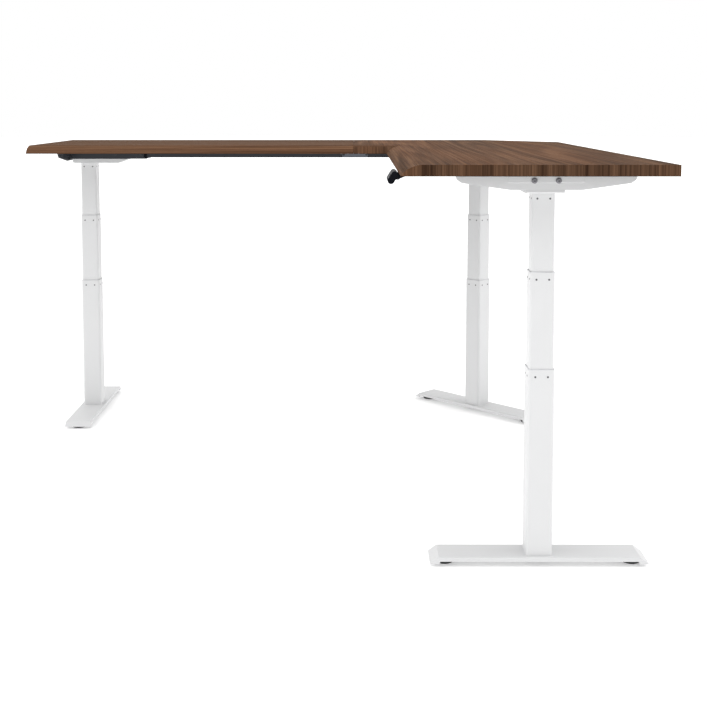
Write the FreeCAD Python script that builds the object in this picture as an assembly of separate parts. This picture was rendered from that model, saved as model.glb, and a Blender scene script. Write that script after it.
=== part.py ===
"""Height adjustable corner desk: a two-board L-shaped top on three telescopic legs.

Millimetres, +Z up. The origin is on the floor, under the middle of the square that the top fills.
The left wing runs along -X, the near wing along -Y, and the corner leg stands at +X +Y.
The desk is drawn at a standing height, part of the way up its travel.
"""
import FreeCAD, Part
import math
import os

V = FreeCAD.Vector
UP = V(0, 0, 1)

# ---- top -------------------------------------------------------------------
SIDE = 2000.0
WING_DEPTH = 695.0
TOP_HEIGHT = 1069.0
TOP_THICKNESS = 29.0
BACK_CHAMFER = 266.0
SEAM_FROM_CORNER = 120.0
SEAM_GAP = 0.4
BEVEL_WIDTH = 50.0
BEVEL_LIP = 1.5
EDGE_ROUND = 1.2

HALF = SIDE / 2
INNER = HALF - WING_DEPTH
UNDERSIDE = TOP_HEIGHT - TOP_THICKNESS
SEAM_X = INNER - SEAM_FROM_CORNER

# ---- legs ------------------------------------------------------------------
LEG_FROM_EDGE = 321.0
LEG_FROM_END = 145.5
LEG_LINE = HALF - LEG_FROM_EDGE
LEG_END = HALF - LEG_FROM_END
LEGS = {
    "corner": (LEG_LINE, LEG_LINE, 135.0),
    "left": (-LEG_END, LEG_LINE, -90.0),
    "near": (LEG_LINE, -LEG_END, 0.0),
}

TUBE_WALL = 1.5
OUTER_SIDE = 70.0
MIDDLE_SIDE = 65.0
INNER_SIDE = 60.0
OUTER_ROUND = 8.0
MIDDLE_ROUND = 7.0
INNER_ROUND = 6.0

FOOT_TOP = 26.0
OUTER_TOP = 526.0
MIDDLE_TOP = 782.8
MIDDLE_BOTTOM = 279.3
INNER_TOP = 1004.0
INNER_BOTTOM = 480.0
END_PLATE = 6.0

GLIDE_RIM = 1.5
GLIDE_DEPTH = 60.0
GLIDE_CLEARANCE = 0.3

SCREW_SPACING = 33.0
SCREW_HEAD_R = 2.6
SCREW_HEAD = 0.6
SCREW_SHANK_R = 1.6
SCREW_DROP = 18.5

# ---- foot ------------------------------------------------------------------
FOOT_WIDTH = 95.0
FOOT_FLAT_HALF = 266.0
FOOT_TIP_HALF = 289.5
FOOT_TIP_Z = 8.5
FOOT_SKIRT_Z = 15.0
FOOT_SHEET = 3.0
FOOT_ROUND = 3.5
PAD_SPACING = 500.0
PAD_R = 25.9
PAD_DISC = 8.0
PAD_NECK_R = 8.0
PAD_NECK_TOP = 11.7
PAD_STUD_R = 4.0
PAD_STUD_TOP = 22.6
PAD_BOSS_R = 9.0
PAD_BOSS_Z = 12.0
FOOT_BOLT_SPACING = 40.0
FOOT_BOLT_R = 6.5
FOOT_BOLT_SHANK_R = 4.0
CENTRE_BOLT_R = 8.0
CENTRE_BOLT_Z = 6.5
CENTRE_BOLT_ALONG = 10.0

# ---- drive -----------------------------------------------------------------
HOUSING_HALF = 50.0
HOUSING_OUT = -57.0
HOUSING_IN = 157.0
HOUSING_BOTTOM = 990.6
HOUSING_STEP = 1006.6
HOUSING_TOP = 1036.0
HOUSING_RISER_HALF = 23.6
HOUSING_TAPER = 34.0
HOUSING_WALL = 2.0
MOTOR_R = 14.2
MOTOR_Z = 1019.3
MOTOR_START = 36.0
MOTOR_END = 143.0
GEARBOX_HALF = 21.0
GEARBOX_BOTTOM = 1005.0
GEARBOX_TOP = HOUSING_TOP - HOUSING_WALL
SPINDLE_R = 8.0
SPINDLE_BOTTOM = 490.0
COUPLER_R = 12.0
COUPLER_LENGTH = 14.0
PUSH_TUBE_R = 14.0
PUSH_TUBE_BORE_R = 10.0
NUT_R = 20.0
NUT_BORE_R = 8.4
NUT_BOTTOM = 600.0
NUT_HEIGHT = 25.0

# ---- cross rails and brackets ----------------------------------------------
BRACKET_FACE = 69.0
BRACKET_SHEET = 2.5
BRACKET_HALF = 230.5
BRACKET_BOTTOM = 1000.6
BRACKET_FLAT_HALF = 92.0
BRACKET_END_HALF = 216.0
BRACKET_END_Z = 1018.3
BRACKET_TIP_Z = 1028.0
BRACKET_FLANGE = 94.0
PANEL_HALF = 97.0
PANEL_BOTTOM = 1018.7
PANEL_RAISE = 1.5
FLANGE_Z = UNDERSIDE - BRACKET_SHEET
SIDE_BOLT_SPACING = 62.0
SIDE_BOLT_Z = 1024.7
SIDE_BOLT_HEAD_R = 7.5
SIDE_BOLT_HEAD = 5.0
SIDE_BOLT_R = 4.0

SLEEVE_NEAR = 24.0
SLEEVE_FAR = 48.0
SLEEVE_BOTTOM = HOUSING_STEP
SLEEVE_TOP = FLANGE_Z - 0.1
SLEEVE_WALL = 2.0
SLEEVE_END = 221.0
RAIL_NEAR = 27.0
RAIL_FAR = 45.0
RAIL_BOTTOM = 1012.0
RAIL_TOP = 1035.0
RAIL_WALL = 1.6
RAIL_OVERLAP = 150.0
CORNER_FLANGE = 540.0
CORNER_REACH = 760.0
CORNER_CUT = 60.0
CORNER_SHEET = UNDERSIDE - HOUSING_TOP
CORNER_FLANGE_START = 72.0
CORNER_FLANGE_BOTTOM = 1008.0
SPLICE_LENGTH = 99.0
SPLICE_CENTRE = 190.5
SPLICE_SHEET = 2.0
CLAMP_R = 4.5
CLAMP_HEAD = 2.5

# ---- seam plates, control box ----------------------------------------------
PLATE_LENGTH = 120.0
PLATE_WIDTH = 38.0
PLATE_SHEET = 2.5
PLATE_PLACES = (405.0, 560.0, 800.0, 940.0)
WOOD_SCREW_R = 2.2
WOOD_SCREW_LENGTH = 18.0
WOOD_SCREW_HEAD_R = 4.5
WOOD_SCREW_HEAD = 2.0

BOX_CENTRE = (-60.0, 850.0)
BOX_LENGTH = 280.0
BOX_DEPTH = 90.0
BOX_HEIGHT = 34.0
BOX_ROUND = 6.0
EAR_LENGTH = 18.0
EAR_SHEET = 3.0
SOCKET_COUNT = 4
SOCKET_WIDTH = 14.0
SOCKET_HEIGHT = 12.0
SOCKET_DEPTH = 16.0
SOCKET_PITCH = 32.0
INLET_WIDTH = 27.0
INLET_HEIGHT = 19.0

# ---- handset ---------------------------------------------------------------
HANDSET_NEAR_END = -828.0
HANDSET_LENGTH = 118.0
PADDLE_R = 9.0
PADDLE_LOW = (286.0, 1018.0)
PADDLE_HIGH = (296.0, 1034.0)
HINGE = (303.5, 1027.0)
KNUCKLE_R = 6.5
KNUCKLE_LENGTH = 11.6
KNUCKLE_CLEARANCE = 0.6
KNUCKLE_INSET = 2.0
HINGE_PIN_R = 1.5
HINGE_PIN_BORE_R = 1.55
MOUNT_INSET = 14.0
MOUNT_PROFILE = ((305.6, 1021.0), (324.0, 1028.8), (352.0, 1040.0), (307.0, 1040.0))
KEY_COUNT = 3
KEY_PITCH = 18.0
KEY_FIRST = 62.0
KEY_LENGTH = 11.0
KEY_WIDTH = 7.0
KEY_PROUD = 1.0
KEY_THICK = 3.6
KEY_TRAVEL_GAP = 1.4
KEY_CLEARANCE = 0.3
KEY_ROUND = 1.5


# ---- helpers ---------------------------------------------------------------
def block(x_range, y_range, z_range):
    """Box between two limits along each axis."""
    low = V(x_range[0], y_range[0], z_range[0])
    size = [pair[1] - pair[0] for pair in (x_range, y_range, z_range)]
    return Part.makeBox(size[0], size[1], size[2], low)


def rounded_block(size_x, size_y, radius, low, high, centre=(0.0, 0.0)):
    """Upright box about a centre, with its four upright edges rounded."""
    corner = V(centre[0] - size_x / 2, centre[1] - size_y / 2, low)
    shape = Part.makeBox(size_x, size_y, high - low, corner)
    upright = [edge for edge in shape.Edges
               if edge.BoundBox.XLength < 1e-6 and edge.BoundBox.YLength < 1e-6]
    return shape.makeFillet(radius, upright)


def rod(radius, low, high, x=0.0, y=0.0):
    """Upright cylinder."""
    return Part.makeCylinder(radius, high - low, V(x, y, low), UP)


def extrude_profile(points, direction):
    """Prism from a closed outline of 3D points."""
    wire = Part.makePolygon(list(points) + [points[0]])
    return Part.Face(wire).extrude(direction)


def profile_along_x(points, x_low, x_high):
    """Prism along X from (y, z) points."""
    return extrude_profile([V(x_low, y, z) for y, z in points], V(x_high - x_low, 0, 0))


def profile_along_y(points, y_low, y_high):
    """Prism along Y from (x, z) points."""
    return extrude_profile([V(x, y_low, z) for x, z in points], V(0, y_high - y_low, 0))


def join(shapes):
    """One solid from touching or overlapping solids."""
    result = shapes[0].multiFuse(shapes[1:]).removeSplitter()
    if len(result.Solids) == 1:
        return result.Solids[0]
    return result


def group(shapes):
    """Separate solids kept side by side in one sub-part."""
    solids = []
    for shape in shapes:
        solids.extend(shape.Solids)
    return Part.makeCompound(solids)


def at_leg(shape, leg):
    """Copy of a shape drawn about the origin, turned and moved to a leg."""
    x, y, angle = LEGS[leg]
    placed = shape.copy()
    placed.rotate(V(0, 0, 0), UP, angle)
    placed.translate(V(x, y, 0))
    return placed


def quarter_turns(shape):
    """The shape and its copies a quarter, a half and three quarters of a turn round Z."""
    copies = []
    for quarter in range(4):
        copy = shape.copy()
        copy.rotate(V(0, 0, 0), UP, 90.0 * quarter)
        copies.append(copy)
    return copies


# ---- top -------------------------------------------------------------------
def bevelled_wing():
    """Left wing through to the back corner, with the ergonomic bevel on its front edge."""
    bevel = Part.BezierCurve()
    bevel.setPoles([V(-HALF, INNER, UNDERSIDE + BEVEL_LIP),
                    V(-HALF, INNER + 8, UNDERSIDE + 16),
                    V(-HALF, INNER + 26, UNDERSIDE + 25),
                    V(-HALF, INNER + BEVEL_WIDTH, TOP_HEIGHT)])
    corners = [V(-HALF, INNER + BEVEL_WIDTH, TOP_HEIGHT), V(-HALF, HALF, TOP_HEIGHT),
               V(-HALF, HALF, UNDERSIDE), V(-HALF, INNER, UNDERSIDE),
               V(-HALF, INNER, UNDERSIDE + BEVEL_LIP)]
    edges = [bevel.toShape()]
    for start, end in zip(corners, corners[1:]):
        edges.append(Part.LineSegment(start, end).toShape())
    return Part.Face(Part.Wire(edges)).extrude(V(SIDE, 0, 0))


def whole_top():
    """Both wings as one solid, before the seam is cut."""
    wing = bevelled_wing()
    other = wing.mirror(V(0, 0, 0), V(1, -1, 0))
    top = wing.fuse(other).removeSplitter()
    start = HALF - BACK_CHAMFER
    corner = extrude_profile([V(start, HALF, UNDERSIDE - 1), V(HALF, start, UNDERSIDE - 1),
                              V(HALF + 1, HALF + 1, UNDERSIDE - 1)], V(0, 0, TOP_THICKNESS + 2))
    return top.cut(corner)


def outer_edges(board):
    """Straight edges round the square outside of a board, top and bottom."""
    found = []
    for edge in board.Edges:
        box = edge.BoundBox
        if box.ZLength > 1e-6 or len(edge.Vertexes) != 2:
            continue
        middle = V((box.XMin + box.XMax) / 2, (box.YMin + box.YMax) / 2, 0)
        on_back = middle.y > HALF - 0.01
        on_right = middle.x > HALF - 0.01
        on_chamfer = abs(middle.x + middle.y - 2 * HALF + BACK_CHAMFER) < 0.1
        if on_back or on_right or (on_chamfer and box.XLength > 100):
            found.append(edge)
    return found


def desktop_boards():
    """Left and right board, either side of the seam."""
    top = whole_top()
    gap = SEAM_GAP / 2
    left_side = block((-HALF - 1, SEAM_X - gap), (-HALF - 1, HALF + 1), (UNDERSIDE - 1, TOP_HEIGHT + 1))
    right_side = block((SEAM_X + gap, HALF + 1), (-HALF - 1, HALF + 1), (UNDERSIDE - 1, TOP_HEIGHT + 1))
    left = top.common(left_side).Solids[0]
    right = top.common(right_side).Solids[0]
    return (left.makeFillet(EDGE_ROUND, outer_edges(left)),
            right.makeFillet(EDGE_ROUND, outer_edges(right)))


def wood_screw(x, y, under):
    """Pan head screw driven up into a board, its head against the face at height under."""
    head = rod(WOOD_SCREW_HEAD_R, under - WOOD_SCREW_HEAD, under, x, y)
    head = head.makeChamfer(0.8, [head.Edges[2]])
    return join([head, rod(WOOD_SCREW_R, under, UNDERSIDE + WOOD_SCREW_LENGTH, x, y)])


def seam_plate(y):
    """Flat steel plate that bridges the seam under both boards."""
    return rounded_block(PLATE_LENGTH, PLATE_WIDTH, 5.0, UNDERSIDE - PLATE_SHEET, UNDERSIDE, (SEAM_X, y))


def seam_screw_places():
    """Screw centres on every seam plate."""
    places = []
    for y in PLATE_PLACES:
        for along in (-45.0, -20.0, 20.0, 45.0):
            places.append((SEAM_X + along, y))
    return places


# ---- legs ------------------------------------------------------------------
def square_tube(side, radius, low, high):
    """Square tube with rounded corners."""
    outside = rounded_block(side, side, radius, low, high)
    bore = side - 2 * TUBE_WALL
    return outside.cut(rounded_block(bore, bore, radius - TUBE_WALL, low - 1, high + 1))


def outer_tube():
    """Lowest stage, closed at its foot by a welded plate."""
    bore = OUTER_SIDE - 2 * TUBE_WALL
    plate = rounded_block(bore, bore, OUTER_ROUND - TUBE_WALL, FOOT_TOP, FOOT_TOP + END_PLATE)
    return join([square_tube(OUTER_SIDE, OUTER_ROUND, FOOT_TOP, OUTER_TOP), plate])


def glide(tube_side, tube_round, slider_side, slider_round, top):
    """Plastic lining in the mouth of a tube, with a rim that covers the tube's end."""
    bore = tube_side - 2 * TUBE_WALL
    lining = rounded_block(bore, bore, tube_round - TUBE_WALL, top - GLIDE_DEPTH, top)
    rim = rounded_block(tube_side - 0.6, tube_side - 0.6, tube_round - 0.3, top, top + GLIDE_RIM)
    hole_side = slider_side + 2 * GLIDE_CLEARANCE
    hole_round = slider_round + GLIDE_CLEARANCE
    hole = rounded_block(hole_side, hole_side, hole_round, top - GLIDE_DEPTH - 1, top + GLIDE_RIM + 1)
    return join([lining, rim]).cut(hole)


def glide_screws(side, top):
    """Two small screws in each face of a tube, near its top."""
    z = top - SCREW_DROP
    screws = []
    for offset in (-SCREW_SPACING / 2, SCREW_SPACING / 2):
        head = Part.makeCylinder(SCREW_HEAD_R, SCREW_HEAD, V(offset, -side / 2, z), V(0, -1, 0))
        head = head.makeChamfer(0.25, [head.Edges[0]])
        shank = Part.makeCylinder(SCREW_SHANK_R, TUBE_WALL + 0.4, V(offset, -side / 2, z), V(0, 1, 0))
        screws.extend(quarter_turns(join([head, shank])))
    return screws


def inner_tube():
    """Top stage, which carries the motor housing."""
    return square_tube(INNER_SIDE, INNER_ROUND, INNER_BOTTOM, INNER_TOP)


# ---- foot ------------------------------------------------------------------
def foot_outline(inset):
    """Side view of the foot, or of its hollow when inset is the sheet thickness."""
    flat = FOOT_FLAT_HALF - inset * 0.4
    tip = FOOT_TIP_HALF - inset * 1.6
    low = FOOT_TIP_Z - inset
    return [(-flat, FOOT_TOP - inset), (flat, FOOT_TOP - inset), (tip, low), (-tip, low)]


def foot():
    """Pressed channel with sloped ends, open underneath, with two bosses for the pads."""
    half = FOOT_WIDTH / 2
    skin = profile_along_y(foot_outline(0.0), -half, half)
    long_edges = [edge for edge in skin.Edges
                  if abs(edge.CenterOfMass.z - FOOT_TOP) < 1e-6 and abs(edge.CenterOfMass.x) < 1e-6]
    skin = skin.makeFillet(FOOT_ROUND, long_edges)
    hollow = profile_along_y(foot_outline(FOOT_SHEET), -half + FOOT_SHEET, half - FOOT_SHEET)
    under = block((-FOOT_FLAT_HALF + 3, FOOT_FLAT_HALF - 3), (-half - 1, half + 1), (0, FOOT_SKIRT_Z))
    shell = skin.cut(hollow).cut(under)
    bosses = []
    for x in (-PAD_SPACING / 2, PAD_SPACING / 2):
        bosses.append(rod(PAD_BOSS_R, PAD_BOSS_Z, FOOT_TOP - FOOT_SHEET + 0.5, x))
    shell = join([shell] + bosses)
    for x in (-PAD_SPACING / 2, PAD_SPACING / 2):
        shell = shell.cut(rod(PAD_STUD_R + 0.3, PAD_BOSS_Z - 1, FOOT_TOP - 2, x))
    return shell


def levelling_pad(x):
    """Round pad on a threaded stud."""
    disc = rod(PAD_R, 0, PAD_DISC, x)
    rims = [edge for edge in disc.Edges if len(edge.Vertexes) == 1]
    disc = disc.makeFillet(1.5, rims)
    neck = rod(PAD_NECK_R, PAD_DISC - 0.5, PAD_NECK_TOP, x)
    stud = rod(PAD_STUD_R, PAD_NECK_TOP - 0.5, PAD_STUD_TOP, x)
    return join([disc, neck, stud])


def foot_bolts():
    """Four bolts from the foot into the tube's end plate, and the larger bolt between them."""
    bolts = []
    half = FOOT_BOLT_SPACING / 2
    under = FOOT_TOP - FOOT_SHEET
    for x in (-half, half):
        for y in (-half, half):
            head = rod(FOOT_BOLT_R, under - 5, under, x, y)
            bolts.append(join([head, rod(FOOT_BOLT_SHANK_R, under, FOOT_TOP + END_PLATE + 2, x, y)]))
    centre = rod(CENTRE_BOLT_R, CENTRE_BOLT_Z, under, CENTRE_BOLT_ALONG)
    rim = [edge for edge in centre.Edges if abs(edge.CenterOfMass.z - CENTRE_BOLT_Z) < 1e-6]
    bolts.append(centre.makeFillet(2.0, rim))
    return bolts


# ---- drive -----------------------------------------------------------------
def motor_housing():
    """Tray with a tapered inner end and a narrower riser, hollow, open round the inner tube."""
    tray_profile = [(HOUSING_OUT, HOUSING_STEP), (HOUSING_OUT, HOUSING_BOTTOM + 3.5),
                    (HOUSING_OUT + 5, HOUSING_BOTTOM), (HOUSING_IN - HOUSING_TAPER, HOUSING_BOTTOM),
                    (HOUSING_IN, HOUSING_STEP - 2.5), (HOUSING_IN, HOUSING_STEP)]
    tray = profile_along_x(tray_profile, -HOUSING_HALF, HOUSING_HALF)
    upright = [edge for edge in tray.Edges
               if edge.BoundBox.XLength < 1e-6 and edge.BoundBox.YLength < 1e-6]
    tray = tray.makeFillet(2.0, upright)
    riser = block((-HOUSING_RISER_HALF, HOUSING_RISER_HALF), (HOUSING_OUT + 7, HOUSING_IN - 7),
                  (HOUSING_STEP - 1, HOUSING_TOP))
    wall = HOUSING_WALL
    tray_room = block((-HOUSING_HALF + wall, HOUSING_HALF - wall),
                      (HOUSING_OUT + wall + 3, HOUSING_IN - HOUSING_TAPER),
                      (HOUSING_BOTTOM + wall, HOUSING_STEP - wall))
    riser_room = block((-HOUSING_RISER_HALF + wall, HOUSING_RISER_HALF - wall),
                       (HOUSING_OUT + 7 + wall, HOUSING_IN - 7 - wall),
                       (HOUSING_BOTTOM + 14, HOUSING_TOP - wall))
    tube_hole = rounded_block(INNER_SIDE, INNER_SIDE, INNER_ROUND, HOUSING_BOTTOM - 1, INNER_TOP)
    return join([tray, riser]).cut(tray_room).cut(riser_room).cut(tube_hole)


def drive_motor():
    """Motor lying along the cross rails, with its shaft towards the gearbox."""
    start = V(0, MOTOR_START, MOTOR_Z)
    can = Part.makeCylinder(MOTOR_R, MOTOR_END - MOTOR_START, start, V(0, 1, 0))
    ends = [edge for edge in can.Edges if len(edge.Vertexes) == 1]
    can = can.makeFillet(1.5, ends)
    shaft = Part.makeCylinder(4.0, 6.0, start + V(0, -6, 0), V(0, 1, 0))
    return join([can, shaft])


def gearbox():
    """Right angle gearbox over the lead screw, hung from the roof of the housing."""
    return rounded_block(2 * GEARBOX_HALF, 2 * GEARBOX_HALF + 8, 5.0, GEARBOX_BOTTOM, GEARBOX_TOP,
                         (0, 5.0))


def lead_screw():
    """Spindle with the coupler at its top, turned by the gearbox."""
    top = INNER_TOP + 0.6
    spindle = rod(SPINDLE_R, SPINDLE_BOTTOM, top)
    return join([spindle, rod(COUPLER_R, top - COUPLER_LENGTH, top)])


def drive_nut():
    """Nut at the top of a push tube that stands on the closed end of the middle tube."""
    bore = MIDDLE_SIDE - 2 * TUBE_WALL
    plate = rounded_block(bore, bore, MIDDLE_ROUND - TUBE_WALL, MIDDLE_BOTTOM, MIDDLE_BOTTOM + 4)
    column = rod(PUSH_TUBE_R, MIDDLE_BOTTOM + 3, NUT_BOTTOM + 1)
    nut = rod(NUT_R, NUT_BOTTOM, NUT_BOTTOM + NUT_HEIGHT)
    solid = join([plate, column, nut])
    solid = solid.cut(rod(PUSH_TUBE_BORE_R, MIDDLE_BOTTOM + 4, NUT_BOTTOM))
    return solid.cut(rod(NUT_BORE_R, NUT_BOTTOM - 1, NUT_BOTTOM + NUT_HEIGHT + 1))


# ---- cross rails and brackets ----------------------------------------------
def side_bracket():
    """Angle under a wing's end: a shaped web with a pressed panel, and a flange under the board."""
    web_points = [(-BRACKET_HALF, UNDERSIDE), (-BRACKET_HALF, BRACKET_TIP_Z),
                  (-BRACKET_END_HALF, BRACKET_END_Z), (-BRACKET_FLAT_HALF, BRACKET_BOTTOM),
                  (BRACKET_FLAT_HALF, BRACKET_BOTTOM), (BRACKET_END_HALF, BRACKET_END_Z),
                  (BRACKET_HALF, BRACKET_TIP_Z), (BRACKET_HALF, UNDERSIDE)]
    web = profile_along_y(web_points, -BRACKET_FACE, -BRACKET_FACE + BRACKET_SHEET)
    bends = [edge for edge in web.Edges
             if edge.BoundBox.XLength < 1e-6 and edge.BoundBox.ZLength < 1e-6
             and edge.CenterOfMass.z < UNDERSIDE - 1 and abs(edge.CenterOfMass.x) > BRACKET_FLAT_HALF + 1]
    web = web.makeFillet(9.0, bends)
    flange = block((-BRACKET_HALF, BRACKET_HALF), (-BRACKET_FACE, -BRACKET_FACE + BRACKET_FLANGE),
                   (FLANGE_Z, UNDERSIDE))
    panel = block((-PANEL_HALF, PANEL_HALF), (-BRACKET_FACE - PANEL_RAISE, -BRACKET_FACE + 1),
                  (PANEL_BOTTOM, UNDERSIDE - 1.5))
    panel_corners = [edge for edge in panel.Edges
                     if edge.BoundBox.XLength < 1e-6 and edge.BoundBox.ZLength < 1e-6]
    panel = panel.makeFillet(4.0, panel_corners)
    front = [edge for edge in panel.Edges
             if abs(edge.CenterOfMass.y + BRACKET_FACE + PANEL_RAISE) < 1e-6]
    panel = panel.makeChamfer(1.0, front)
    return join([web, flange, panel])


def side_bolts():
    """Two button head bolts through the side bracket into the ends of the sleeves."""
    bolts = []
    face = -BRACKET_FACE - PANEL_RAISE
    for x in (-SIDE_BOLT_SPACING / 2, SIDE_BOLT_SPACING / 2):
        head = Part.makeCylinder(SIDE_BOLT_HEAD_R, SIDE_BOLT_HEAD, V(x, face, SIDE_BOLT_Z), V(0, -1, 0))
        rim = [edge for edge in head.Edges
               if len(edge.Vertexes) == 1 and abs(edge.CenterOfMass.y - face + SIDE_BOLT_HEAD) < 1e-6]
        head = head.makeFillet(3.0, rim)
        socket = Part.makeCylinder(2.6, 3.0, V(x, face - SIDE_BOLT_HEAD - 0.1, SIDE_BOLT_Z), V(0, 1, 0))
        shank = Part.makeCylinder(SIDE_BOLT_R, 22.0, V(x, face, SIDE_BOLT_Z), V(0, 1, 0))
        bolts.append(join([head.cut(socket), shank]))
    return bolts


def mirrored_pair(shape):
    """The shape and its mirror image across the leg's cross rail line."""
    return [shape, shape.mirror(V(0, 0, 0), V(1, 0, 0))]


def rail_sleeve():
    """Outer rail section, fixed to the motor housing and closed where it meets the side bracket."""
    start = -BRACKET_FACE + BRACKET_SHEET
    body = block((SLEEVE_NEAR, SLEEVE_FAR), (start, SLEEVE_END), (SLEEVE_BOTTOM, SLEEVE_TOP))
    long_edges = [edge for edge in body.Edges
                  if edge.BoundBox.XLength < 1e-6 and edge.BoundBox.ZLength < 1e-6]
    body = body.makeFillet(2.0, long_edges)
    room = block((SLEEVE_NEAR + SLEEVE_WALL, SLEEVE_FAR - SLEEVE_WALL), (start + 10, SLEEVE_END + 1),
                 (SLEEVE_BOTTOM + SLEEVE_WALL, SLEEVE_TOP - SLEEVE_WALL))
    return body.cut(room)


def cross_rail():
    """Inner rail section, from inside the sleeve to the flange of the corner bracket."""
    start = SLEEVE_END - RAIL_OVERLAP
    end = CORNER_FLANGE + LEG_END
    body = block((RAIL_NEAR, RAIL_FAR), (start, end), (RAIL_BOTTOM, RAIL_TOP))
    long_edges = [edge for edge in body.Edges
                  if edge.BoundBox.XLength < 1e-6 and edge.BoundBox.ZLength < 1e-6]
    body = body.makeFillet(1.6, long_edges)
    room = block((RAIL_NEAR + RAIL_WALL, RAIL_FAR - RAIL_WALL), (start - 1, end + 1),
                 (RAIL_BOTTOM + RAIL_WALL, RAIL_TOP - RAIL_WALL))
    return body.cut(room)


def clamp_screw(face, y, z):
    """Screw in the outer side of a sleeve or a splice plate, reaching the rail inside."""
    head = Part.makeCylinder(CLAMP_R, CLAMP_HEAD, V(face, y, z), V(1, 0, 0))
    rim = [edge for edge in head.Edges
           if len(edge.Vertexes) == 1 and abs(edge.CenterOfMass.x - face - CLAMP_HEAD) < 1e-6]
    head = head.makeFillet(1.0, rim)
    return join([head, Part.makeCylinder(2.5, 4.0, V(face, y, z), V(-1, 0, 0))])


def splice_plate():
    """Flat plate on the outer side of a cross rail, beside the seam."""
    centre = SPLICE_CENTRE + LEG_END
    half = SPLICE_LENGTH / 2
    return block((RAIL_FAR, RAIL_FAR + SPLICE_SHEET), (centre - half, centre + half),
                 (RAIL_BOTTOM + 0.8, RAIL_TOP - 0.8))


def rail_screws():
    """Clamp screws of one leg's sleeves and splice plates."""
    middle_z = (RAIL_BOTTOM + RAIL_TOP) / 2
    splice_face = RAIL_FAR + SPLICE_SHEET
    screws = []
    for y in (SLEEVE_END - 12, SLEEVE_END - 110):
        screws.extend(mirrored_pair(clamp_screw(SLEEVE_FAR, y, middle_z)))
    for along in (-SPLICE_LENGTH / 2 + 5.5, SPLICE_LENGTH / 2 - 5.5):
        y = SPLICE_CENTRE + LEG_END + along
        screws.extend(mirrored_pair(clamp_screw(splice_face, y, middle_z)))
    return screws


def corner_bracket():
    """Plate over the corner leg, with two flanges that take the ends of the cross rails."""
    low = CORNER_FLANGE
    high = CORNER_REACH
    cut = CORNER_CUT
    outline = [(low, high - cut), (low, low + cut), (low + cut, low), (high - cut, low),
               (high, low + cut), (high, high - 2 * cut), (high - 2 * cut, high), (low + cut, high)]
    plate = extrude_profile([V(x, y, UNDERSIDE - CORNER_SHEET) for x, y in outline],
                            V(0, 0, CORNER_SHEET))
    flange = block((low, low + CORNER_SHEET), (low + CORNER_FLANGE_START, high),
                   (CORNER_FLANGE_BOTTOM, UNDERSIDE))
    other_flange = flange.mirror(V(0, 0, 0), V(1, -1, 0))
    back = block((low, low + cut + 1), (high - cut - 1, high), (UNDERSIDE - CORNER_SHEET, UNDERSIDE))
    other_back = back.mirror(V(0, 0, 0), V(1, -1, 0))
    return join([plate, flange, other_flange, back, other_back])


def flange_screws():
    """Screws through the corner bracket's flanges into the ends of the cross rails."""
    middle_z = (RAIL_BOTTOM + RAIL_TOP) / 2
    inside = CORNER_FLANGE + CORNER_SHEET
    screws = []
    for offset in (-(RAIL_NEAR + RAIL_FAR) / 2, (RAIL_NEAR + RAIL_FAR) / 2):
        head = Part.makeCylinder(6.0, 4.0, V(inside, LEG_LINE + offset, middle_z), V(1, 0, 0))
        shank = Part.makeCylinder(3.0, 14.0, V(inside, LEG_LINE + offset, middle_z), V(-1, 0, 0))
        screw = join([head, shank])
        screws.append(screw)
        screws.append(screw.mirror(V(0, 0, 0), V(1, -1, 0)))
    return screws


def bracket_screw_places():
    """Wood screw centres in the flange of one leg's side bracket, about the leg."""
    return [(-200.0, -20.0), (-120.0, 10.0), (120.0, 10.0), (200.0, -20.0)]


# ---- control box -----------------------------------------------------------
def control_box():
    """Box with a row of sockets and a mains inlet in its back face, and a screw ear at each end."""
    x, y = BOX_CENTRE
    bottom = UNDERSIDE - BOX_HEIGHT
    body = rounded_block(BOX_LENGTH, BOX_DEPTH, BOX_ROUND, bottom, UNDERSIDE - 0.5, BOX_CENTRE)
    lower = [edge for edge in body.Edges
             if edge.BoundBox.ZLength < 1e-6 and abs(edge.CenterOfMass.z - bottom) < 1e-6]
    body = body.makeFillet(2.0, lower)
    ears = rounded_block(BOX_LENGTH + 2 * EAR_LENGTH, BOX_DEPTH * 0.6, 6.0, UNDERSIDE - EAR_SHEET,
                         UNDERSIDE, BOX_CENTRE)
    solid = join([body, ears])
    back = y + BOX_DEPTH / 2
    middle_z = bottom + BOX_HEIGHT / 2 - 2
    for index in range(SOCKET_COUNT):
        centre = x - BOX_LENGTH / 2 + 28 + index * SOCKET_PITCH
        solid = solid.cut(block((centre - SOCKET_WIDTH / 2, centre + SOCKET_WIDTH / 2),
                                (back - SOCKET_DEPTH, back + 1),
                                (middle_z - SOCKET_HEIGHT / 2, middle_z + SOCKET_HEIGHT / 2)))
    inlet = x + BOX_LENGTH / 2 - 36
    solid = solid.cut(block((inlet - INLET_WIDTH / 2, inlet + INLET_WIDTH / 2),
                            (back - SOCKET_DEPTH, back + 1),
                            (middle_z - INLET_HEIGHT / 2, middle_z + INLET_HEIGHT / 2)))
    pins = []
    for offset in (-7.0, 0.0, 7.0):
        pins.append(block((inlet + offset - 1, inlet + offset + 1),
                          (back - SOCKET_DEPTH - 0.5, back - 4),
                          (middle_z - 2 + abs(offset) / 3.5, middle_z + 2 + abs(offset) / 3.5)))
    return join([solid] + pins)


def box_screw_places():
    """Screw centres in the control box's ears."""
    reach = BOX_LENGTH / 2 + EAR_LENGTH / 2
    places = []
    for x in (-reach, reach):
        for y in (-15.0, 15.0):
            places.append((BOX_CENTRE[0] + x, BOX_CENTRE[1] + y))
    return places


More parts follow.
